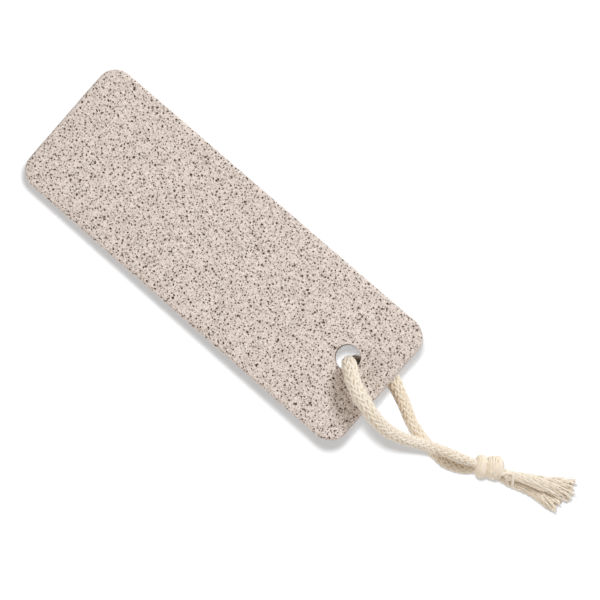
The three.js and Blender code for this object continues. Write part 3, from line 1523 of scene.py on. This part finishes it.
@dataclass
class CordHalf:
    """One half of the cord, from the middle of the hole through the knot to its frayed end."""

    name: str
    route: tuple[Place, ...]
    tail: tuple[Place, ...]
    inside: tuple[Place, ...]  # the route inside the knot
    lies_under: bool  # whether it goes under the stone
    mouth: float  # the height at which it leaves the hole
    tail_wide: float  # half of the frayed end's width
    tail_high: float  # half of its height
    past_tail: float  # how far the longest yarns go past the tail's last point
    # stretches with painted shade down one side, where it lies against the other half
    side_shades: tuple[SideShade, ...]
    rise: float
    tone: float
    seed: int
    diameter: float = CORD_DIAMETER
    step: float = 0.0005  # between the points of its way
    level_from: float = 0.012  # how far along its sideways direction starts to turn level
    lean: tuple[float, float] = (0.00046, -0.00053)  # how far it is pressed aside in the hole
    in_hole_share: float = 0.86  # its thickness there
    hole_top: Span = (0.0225, 0.0185)  # heights
    hole_foot: Span = (0.0025, 0.0050)  # heights
    hole_edge: Span = (0.060, 0.058)  # x
    pressed: float = 0.8  # its height under the stone, as a share
    pressed_low: Span = (0.009, 0.0045)  # heights
    pressed_near: Span = (0.077, 0.070)  # x
    pressed_gain: float = 0.08  # how much wider it is there
    lowest_share: float = 0.62  # its least height where the knot draws it in
    neck: float = 0.0011  # half of the width at which it leaves the knot
    parting: Span = (-0.003, 0.005)  # distances past the tail's first point
    fray_girth: tuple[float, float] = (0.85, 0.1)  # past the knot, and its loss by the tip
    tip_loss: float = 0.4  # how much thinner the yarns' last bit is
    tip: float = 0.0018
    cut: float = 0.03
    eyes: tuple[Eye, ...] = (
        Eye((0.1221, 0.0063), 0.00080, 0.0020),
        Eye((0.1249, 0.0067), 0.00045, 0.0013),
        Eye((0.1196, 0.0048), 0.00040, 0.0012),
    )
    core: Plait = Plait(
        carriers=2,
        ends=2,
        ring_radius=0.00075,
        rise=0.0,
        yarn_width=0.0015,
        yarn_thickness=0.0013,
        twist=0.0,
        wander=0.0001,
        lay=0.05,
        seed=3,
    )
    frayed: Plait = Plait(
        carriers=23,
        ring_radius=0.0,
        rise=0.0,
        yarn_width=0.00078,
        yarn_thickness=0.00055,
        twist=2 * math.pi / 0.006,
        wander=0.0011,
        cut=0.10,
        lay=0.05,
        seed=9,
        tone=0.5,
    )
    wisps: Plait = Plait(
        carriers=36,
        ring_radius=0.0,
        rise=0.0,
        yarn_width=0.00018,
        yarn_thickness=0.00018,
        twist=0.0,
        wander=0.0022,
        cut=0.16,
        lay=0.05,
        seed=13,
        sides=4,
    )
    drawn_in: tuple[tuple[float, float], ...] = (  # distance from the knot, share of thickness
        (0.006, 0.50),
        (0.014, 0.66),
        (0.023, 0.74),
        (0.032, 0.80),
        (0.040, 0.90),
        (0.048, 1.00),
    )

    def way(self) -> Way:
        """The half's way, from the middle of the hole to the cut end.

        Returns:
            The way.
        """
        last, end = np.array(self.tail[-2:])
        end = end + (end - last) / np.linalg.norm(end - last) * self.past_tail
        line = Way.smooth((*self.route, *self.inside, *self.tail, tuple(end)), self.step)
        line[:, :2] += self.in_hole(line)[:, None] * np.array(self.lean)
        return Way.of(line, (0, 1, 0), self.level_from)

    def in_hole(self, points: np.ndarray) -> np.ndarray:
        """How far points of the half are in the hole.

        Args:
            points: The points, one row each.

        Returns:
            0 to 1 for each point.
        """
        x, z = points[:, 0], points[:, 2]
        within = smoothstep(*self.hole_top, z) * smoothstep(*self.hole_foot, z)
        return within * smoothstep(*self.hole_edge, x)

    def tail_length(self) -> float:
        """The length of the frayed end."""
        lengths = np.linalg.norm(np.diff(np.array(self.tail), axis=0), axis=1)
        return float(lengths.sum()) + self.past_tail

    def numbers(self, way: Way) -> dict[str, np.ndarray]:
        """How the half is pressed, gripped and parted along its way.

        Args:
            way: The half's way.

        Returns:
            The numbers by name.
        """
        x, z = way.points[:, 0], way.points[:, 2]
        from_knot = np.linalg.norm(way.points - np.array(KNOT_CENTRE), axis=1)
        pressed = np.zeros_like(x)
        if self.lies_under:
            pressed = smoothstep(*self.pressed_low, z) * smoothstep(*self.pressed_near, x)
        drawn = np.interp(from_knot, *np.array(self.drawn_in).T)
        squeezed = 1 - (1 - self.in_hole_share) * self.in_hole(way.points)
        wide = (1 + self.pressed_gain * pressed) * drawn
        high = (1 - (1 - self.pressed) * pressed) * np.maximum(drawn, self.lowest_share)

        left = way.along[-1] - way.along
        tail_length = self.tail_length()
        share = np.clip(1 - left / tail_length, 0, 1)
        girth, loss = self.fray_girth
        girth = np.where(x > KNOT_CENTRE[0], girth - loss * share, drawn**0.6)
        return {
            # painted shade down one side, over the marked stretches
            "side_shade": sum((side_shade.over(x) for side_shade in self.side_shades), np.zeros_like(x)),
            "wide": wide * squeezed,
            "high": high * squeezed,
            "loose": smoothstep(*self.parting, tail_length - left),
            "stray": 0.25 + 0.75 * share,
            "parted_wide": self.neck + (self.tail_wide - self.neck) * share**1.5,
            "parted_high": self.neck + (self.tail_high - self.neck) * share**1.2,
            "girth": girth * (1 - self.tip_loss * smoothstep(self.tip, 0.0, left)),
        }

    def build(self, material: bpy.types.Material) -> tuple[bpy.types.Object, Way]:
        """Makes the half.

        Args:
            material: The cotton.

        Returns:
            The piece and its way.
        """
        way = self.way()
        numbers = self.numbers(way)
        middle = int(np.argmax(way.points[:, 0] > KNOT_CENTRE[0]))
        plait = Plait(cut=self.cut, seed=self.seed, rise=self.rise, tone=self.tone)
        outer = plait.lay_along(way, numbers, self.name, material)
        near = {title: row[:middle] for title, row in numbers.items()}
        core = self.core.lay_along(way.part(0, middle), near, "core", material)
        far = {title: row[middle:] for title, row in numbers.items()}
        far["loose"] = np.ones_like(far["loose"])
        far["girth"] = far["girth"] / far["girth"][0]
        frayed = self.frayed.lay_along(way.part(middle), far, "frayed", material)
        wisps = self.wisps.lay_along(way.part(middle), far, "wisps", material)
        piece = joined_piece(self.name, (outer, core, frayed, wisps))
        for eye in self.eyes:
            eye.open(piece)
        settled(piece)
        return piece, way

    def dress(
        self,
        piece: bpy.types.Object,
        way: Way,
        nodes: Sequence[str],
        on_it: Sequence[bpy.types.Object],
    ) -> None:
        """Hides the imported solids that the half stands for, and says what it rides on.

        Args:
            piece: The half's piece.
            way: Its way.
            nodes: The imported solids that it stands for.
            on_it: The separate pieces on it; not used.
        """
        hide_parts(*nodes)
        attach(piece, BODY)
        near_hole = way.points[: len(way.points) // 3]
        mouth = int(np.argmin(np.abs(near_hole[:, 2] - self.mouth)))
        length = way.along[-1] - self.past_tail
        tuple(way.points[mouth])
        way.points[way.along < length].tolist()


def upper_half() -> CordHalf:
    """The half that goes over the end of the stone.

    Returns:
        The half.
    """
    return CordHalf(
        name="cord_upper",
        route=tuple(reversed(CORD_ROUTE[: MID_HOLE + 1])),
        tail=UPPER_TAIL_ROUTE,
        inside=((0.1123, 0.0040, 0.0055), (0.1155, 0.0054, 0.0054)),
        lies_under=False,
        mouth=0.0185,
        tail_wide=0.0041,
        tail_high=0.0019,
        past_tail=0.0018,
        # painted shade down one side near the knot, against the lower half
        side_shades=(SideShade(0.097, 0.109, -0.7),),
        rise=0.00010,
        tone=0.0,
        seed=1,
    )


def lower_half() -> CordHalf:
    """The half that comes back under the stone.

    Returns:
        The half.
    """
    return CordHalf(
        name="cord_lower",
        route=CORD_ROUTE[MID_HOLE:],
        tail=LOWER_TAIL_ROUTE,
        inside=((0.1134, 0.0030, 0.0026), (0.1164, 0.0042, 0.0026)),
        lies_under=True,
        mouth=0.0045,
        tail_wide=0.0028,
        tail_high=0.0018,
        past_tail=0.0006,
        # painted shade down one side and then the other, beside the upper half
        side_shades=(SideShade(0.068, 0.084, -0.9), SideShade(0.094, 0.109, 1.0)),
        rise=0.00012,
        tone=0.6,
        seed=2,
    )


@dataclass(frozen=True)
class Wrap:
    """One wrap of the knot."""

    along: float  # its place along the knot, from the knot's middle
    half_width: float
    radius: float  # to its outside


@dataclass
class Knot:
    """The knot: the cord's wraps round both halves, with the halves running through."""

    centre: Place = KNOT_CENTRE
    angle: float = KNOT_ANGLE
    wraps: tuple[Wrap, Wrap] = (Wrap(-0.0027, 0.0020, 0.0038), Wrap(0.0017, 0.0030, 0.0039))
    half_height: float = 0.0016  # half of the flattened cord's thickness
    turns: float = 2.3
    starts_at: float = math.radians(150)
    steps: int = 260
    passes_over: Span = (0.95, 1.35)  # the turns in which it goes from wrap to wrap
    tucked: float = 0.16  # the turns that each end takes to go inside
    tucked_depth: float = 0.75  # as a share of the radius
    girth: float = 0.92
    plait: Plait = Plait(
        carriers=16,
        ring_radius=0.00200,
        rise=0.00007,
        yarn_width=0.00126,
        yarn_thickness=0.00088,
        wander=0.0009,
        lay=0.15,
        seed=7,
        tone=0.8,
    )
    loop_step: float = 0.0003
    loops: tuple[tuple[Place, ...], ...] = (  # loose yarns that loop out of the knot
        (
            (0.1226, 0.0046, 0.0028),
            (0.1214, 0.0054, 0.0045),
            (0.1206, 0.0063, 0.0057),
            (0.1205, 0.0073, 0.0064),
            (0.1216, 0.0077, 0.0065),
            (0.1230, 0.0069, 0.0058),
            (0.1238, 0.0056, 0.0044),
            (0.1245, 0.0046, 0.0030),
        ),
        (
            (0.1176, 0.0042, 0.0052),
            (0.1189, 0.0053, 0.0062),
            (0.1196, 0.0067, 0.0067),
            (0.1207, 0.0079, 0.0058),
            (0.1222, 0.0086, 0.0046),
        ),
    )
    looped: Plait = Plait(
        carriers=1,
        ring_radius=0.0002,
        rise=0.0,
        yarn_width=0.0007,
        yarn_thickness=0.0006,
        twist=0.0,
        wander=0.0,
        lay=0.0045,
        seed=11,
    )

    def way(self) -> tuple[Way, dict[str, np.ndarray]]:
        """The wraps' way, which starts and ends inside the knot.

        Returns:
            The way and the numbers that shape the cord along it.
        """
        first, last = self.wraps
        turns = np.linspace(0.0, self.turns, self.steps)
        shift = smoothstep(*self.passes_over, turns)
        x = first.along + (last.along - first.along) * shift
        outer = first.radius + (last.radius - first.radius) * shift
        half_wide = first.half_width + (last.half_width - first.half_width) * shift
        sunk = smoothstep(self.tucked, 0.0, turns)
        sunk += smoothstep(self.turns - self.tucked, self.turns, turns)
        radius = (outer - self.half_height) * (1 - self.tucked_depth * sunk)
        angle = 2 * math.pi * turns - self.starts_at
        axis = np.array([math.cos(self.angle), math.sin(self.angle), 0.0])
        side = np.array([-math.sin(self.angle), math.cos(self.angle), 0.0])
        up = np.array([0.0, 0.0, 1.0])
        spokes = np.cos(angle)[:, None] * side + np.sin(angle)[:, None] * up
        points = np.array(self.centre) + x[:, None] * axis + radius[:, None] * spokes
        ahead = np.gradient(points, axis=0)
        ahead /= np.linalg.norm(ahead, axis=1)[:, None]
        upward = spokes - ahead * (spokes * ahead).sum(1)[:, None]
        upward /= np.linalg.norm(upward, axis=1)[:, None]
        across = np.cross(upward, ahead)
        steps = np.linalg.norm(np.diff(points, axis=0), axis=1)
        along = np.concatenate([[0], np.cumsum(steps)])
        numbers = {
            "wide": half_wide / (CORD_DIAMETER / 2),
            "high": np.full_like(x, self.half_height / (CORD_DIAMETER / 2)),
            "girth": np.full_like(x, self.girth),
        }
        return Way(points, ahead, across, upward, along), numbers

    def build(self, material: bpy.types.Material) -> bpy.types.Object:
        """Makes the knot's wraps and the yarns that loop out of them.

        Args:
            material: The cotton.

        Returns:
            The piece.
        """
        way, numbers = self.way()
        pieces = [self.plait.lay_along(way, numbers, "knot_wraps", material)]
        for route in self.loops:
            loop = Way.of(Way.smooth(route, self.loop_step), (0, 0, 1), level_from=1.0)
            pieces.append(self.looped.lay_along(loop, {}, "loop", material))
        piece = joined_piece("knot_wraps", pieces)
        settled(piece)
        return piece

    def dress(self, piece: bpy.types.Object) -> None:
        """Hides the imported knot that it stands for, and says what it rides on.

        Args:
            piece: The knot's piece.
        """
        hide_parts("knot")
        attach(piece, BODY)


# ------------------------------------------------------------------ the studio


class LampKind(Enum):
    """How a lamp throws its light."""

    SOFT = "AREA"
    NARROW = "SPOT"


class Falls(Enum):
    """What a lamp lights."""

    ON_PART = "part"
    ON_TABLE = "table"


@dataclass(frozen=True)
class Lamp:
    """A lamp that points at a place on the table and lights one kind of thing only."""

    name: str
    kind: LampKind
    azimuth: float  # in degrees, from the camera's right towards its top
    elevation: float  # in degrees above the table
    size: float
    watts: float
    falls: Falls
    aims_at: tuple[float, float]
    colour: Colour = WHITE
    away: float = 0.9
    beam: float = math.radians(1.0)  # a narrow lamp's

    def toward(self, right: tuple[float, float]) -> Vector:
        """The direction from the place that it points at to the lamp.

        Args:
            right: The camera's right, over the table.

        Returns:
            The direction, one long.
        """
        x, y = right
        a, e = math.radians(self.azimuth), math.radians(self.elevation)
        flat = Vector((x, y, 0)) * math.cos(a) + Vector((-y, x, 0)) * math.sin(a)
        return flat * math.cos(e) + Vector((0, 0, math.sin(e)))

    def build(self, right: tuple[float, float], lights: Sequence[bpy.types.Object]) -> None:
        """Makes the lamp.

        Args:
            right: The camera's right, over the table.
            lights: The pieces that it lights.
        """
        data = bpy.data.lights.new(self.name, self.kind.value)
        if self.kind is LampKind.NARROW:
            data.spot_size = self.beam
            data.shadow_soft_size = self.size / 2
        else:
            data.size = self.size
        data.energy = self.watts
        data.color = self.colour
        light = bpy.data.objects.new(self.name, data)
        bpy.context.scene.collection.objects.link(light)
        toward = self.toward(right)
        light.location = Vector((*self.aims_at, 0)) + toward * self.away
        light.rotation_mode = "QUATERNION"
        light.rotation_quaternion = toward.to_track_quat("Z", "Y")
        lit = bpy.data.collections.new(self.name + " falls on")
        for piece in lights:
            lit.objects.link(piece)
        light.light_linking.receiver_collection = lit


@dataclass
class Studio:
    """The table, the lamps and the camera over them."""

    right: tuple[float, float] = (0.7547, 0.6561)  # the camera's right, over the table
    looks_at: tuple[float, float] = (0.0293, 0.0053)
    frame_width: float = 0.2009  # what the camera sees across, at the stone's top
    stone_top: float = 0.018
    distance: float = 3.0
    sensor: float = 36.0
    sees_to: float = 50.0
    table_size: float = 16.0
    ambient: float = 0.45
    ambient_colour: Colour = (1.0, 0.925, 0.845)
    key_colour: Colour = (0.94, 0.975, 1.0)

    def camera(self) -> None:
        """Makes the camera, which looks straight down."""
        data = bpy.data.cameras.new("camera")
        data.sensor_width = self.sensor
        data.lens = self.sensor * self.distance / self.frame_width
        data.clip_end = self.sees_to
        camera = bpy.data.objects.new("camera", data)
        bpy.context.scene.collection.objects.link(camera)
        x, y = self.right
        turned = Matrix(((x, -y, 0), (y, x, 0), (0, 0, 1))).to_4x4()
        place = (*self.looks_at, self.stone_top + self.distance)
        camera.matrix_world = Matrix.Translation(place) @ turned
        bpy.context.scene.camera = camera

    def lamps(self) -> tuple[Lamp, ...]:
        """The lamps: two on the part, and two on the table under it.

        Returns:
            The lamps, in the order that they are made.
        """
        soft, narrow = LampKind.SOFT, LampKind.NARROW
        part, table, middle = Falls.ON_PART, Falls.ON_TABLE, self.looks_at
        return (
            Lamp("key", soft, 42, 45, 0.22, 5.4, part, middle, self.key_colour),
            Lamp("fill", soft, 225, 30, 0.5, 2.3, part, middle),
            Lamp("over table", soft, 86, 80.6, 0.11, 10.0, table, middle),
            Lamp("into the hole", narrow, 86, 87.5, 0.05, 75.0, table, HOLE_PLACE),
        )

    def table(self) -> bpy.types.Object:
        """Makes the table top.

        Returns:
            The table, marked as no part of the object.
        """
        half = self.table_size / 2
        mesh = bpy.data.meshes.new("table")
        corners = [(-half, -half, 0), (half, -half, 0), (half, half, 0), (-half, half, 0)]
        mesh.from_pydata(corners, [], [(0, 1, 2, 3)])
        mesh.materials.append(TableFinish().material())
        table = bpy.data.objects.new("table", mesh)
        bpy.context.scene.collection.objects.link(table)
        table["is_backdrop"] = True
        return table

    def surroundings(self) -> None:
        """Gives the room an even warm light, and colours as they are."""
        scene = bpy.context.scene
        scene.world = bpy.data.worlds.new("room")
        scene.world.use_nodes = True
        background = scene.world.node_tree.nodes["Background"]
        background.inputs["Color"].default_value = (*self.ambient_colour, 1.0)
        background.inputs["Strength"].default_value = self.ambient
        scene.view_settings.view_transform = "Standard"
        scene.view_settings.look = "None"

    def build(self, part: Sequence[bpy.types.Object]) -> None:
        """Makes the table and the lights.

        Args:
            part: The part's pieces.
        """
        lights = {Falls.ON_PART: part, Falls.ON_TABLE: [self.table()]}
        self.surroundings()
        for lamp in self.lamps():
            lamp.build(self.right, lights[lamp.falls])


# ------------------------------------------------------------------ all of it


def report(piece: bpy.types.Object) -> None:
    """Logs a piece's name and how many triangles it has."""
    log.info("%s: %d triangles", piece.name, triangle_count(piece))


def main() -> None:
    """Builds the camera, the cord, the knot and the stone, then the table and lights."""
    logging.basicConfig(level=logging.INFO, format="%(name)s: %(message)s")
    studio = Studio()
    studio.camera()

    cotton = CottonFinish().material()
    knot = Knot()
    knot_piece = knot.build(cotton)
    knot.dress(knot_piece)

    upper, lower = upper_half(), lower_half()
    upper_piece, upper_way = upper.build(cotton)
    lower_piece, lower_way = lower.build(cotton)
    fibres = Fibres()
    fibres_piece = fibres.build((upper_piece, lower_piece, knot_piece), cotton)
    fibres.dress(fibres_piece)
    upper.dress(upper_piece, upper_way, ("cord", "tail_upper"), (knot_piece, fibres_piece))
    lower.dress(lower_piece, lower_way, ("cord", "tail_lower"), ())
    for piece in (upper_piece, lower_piece, knot_piece, fibres_piece):
        report(piece)

    stone = PumiceStone()
    stone_piece = stone.build()
    stone.dress(stone_piece)
    report(stone_piece)

    studio.build((upper_piece, lower_piece, knot_piece, fibres_piece, stone_piece))
    boxes = {"cad": cad_bounds, "visual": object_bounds()}
    {k: [list(p) for p in v] for k, v in boxes.items()}


if __name__ == "__main__":
    main()
